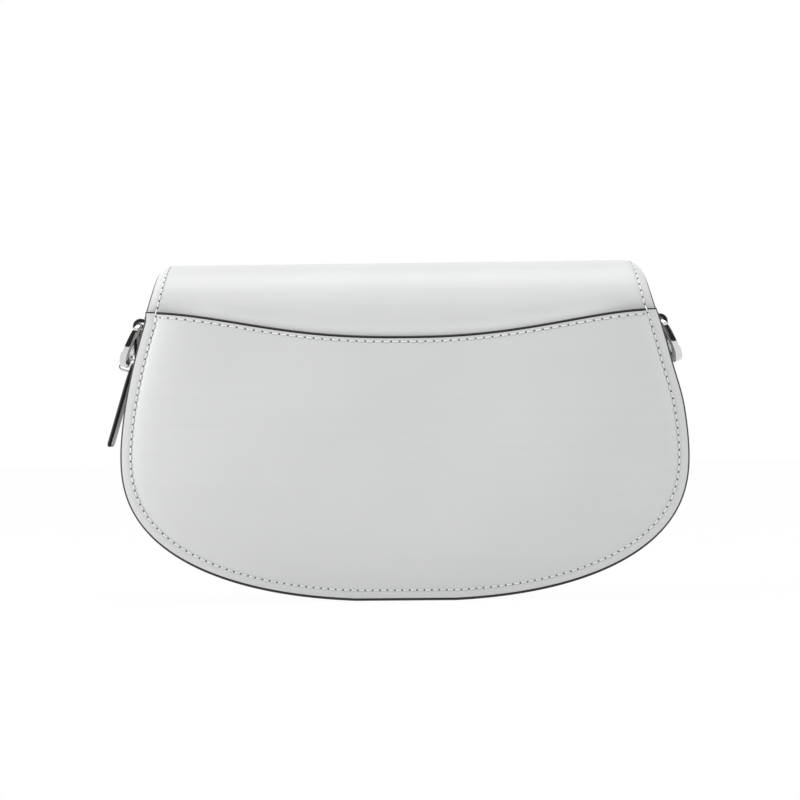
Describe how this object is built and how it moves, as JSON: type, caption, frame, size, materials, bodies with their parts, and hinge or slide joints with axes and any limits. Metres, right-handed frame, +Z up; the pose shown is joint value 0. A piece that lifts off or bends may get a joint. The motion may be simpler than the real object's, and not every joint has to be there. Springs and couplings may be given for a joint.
{
  "type": "crossbody bag",
  "caption": "Half-moon leather crossbody bag with a flap over a snapped mouth, a slip pocket on the back, a D-ring in a loop on each side and a hang tag.",
  "frame": {"origin": "the middle of the back panel's bottom edge, on the ground that the bag stands on", "axes": "+Z up; the pictured back with the slip pocket faces -Y and the flap's front faces +Y; +X across the bag, with the hang tag at -X"},
  "size_m": [0.2575, 0.0685, 0.15],
  "materials": {
    "white_leather": "smooth satin calf leather, raw edges painted dark",
    "pale_lining": "thin pale lining leather",
    "cloth_lining": "grey woven lining",
    "covered_board": "stiff board covered in the lining cloth",
    "polished_metal": "mirror polished nickel"
  },
  "bodies": {
    "bag": {"back_panel": "white_leather", "back_lining": "cloth_lining", "slip_pocket_panel": "white_leather", "slip_pocket_lining": "pale_lining", "front_panel": "white_leather", "front_lining": "cloth_lining", "gusset": "white_leather", "gusset_lining": "cloth_lining", "base_board": "covered_board", "inner_slip_pocket": "cloth_lining", "ring_loop_left": "white_leather", "ring_loop_right": "white_leather", "snap_socket": "polished_metal", "snap_socket_washer": "polished_metal"},
    "flap": {"flap": "white_leather", "flap_lining": "pale_lining", "snap_stud": "polished_metal", "snap_stud_washer": "polished_metal"},
    "ring_left": {"d_ring_left": "polished_metal"},
    "ring_right": {"d_ring_right": "polished_metal"},
    "tag": {"hang_tag": "white_leather", "tag_link": "polished_metal"}
  },
  "joints": [
    {"name": "flap_hinge", "type": "hinge", "parent": "bag", "child": "flap", "pos_m": [0, -0.0037, 0.1284], "axis": [1, 0, 0], "range_deg": [0, 150]},
    {"name": "ring_left_swing", "type": "hinge", "parent": "bag", "child": "ring_left", "pos_m": [-0.1171, 0.0219, 0.12159], "axis": [0, 1, 0], "range_deg": [0, 130]},
    {"name": "ring_right_swing", "type": "hinge", "parent": "bag", "child": "ring_right", "pos_m": [0.11389, 0.0219, 0.12214], "axis": [0, -1, 0], "range_deg": [0, 130]},
    {"name": "tag_swing", "type": "hinge", "parent": "ring_left", "child": "tag", "pos_m": [-0.12442, 0.0219, 0.10493], "axis": [0, 1, 0], "range_deg": [0, 60]}
  ]
}
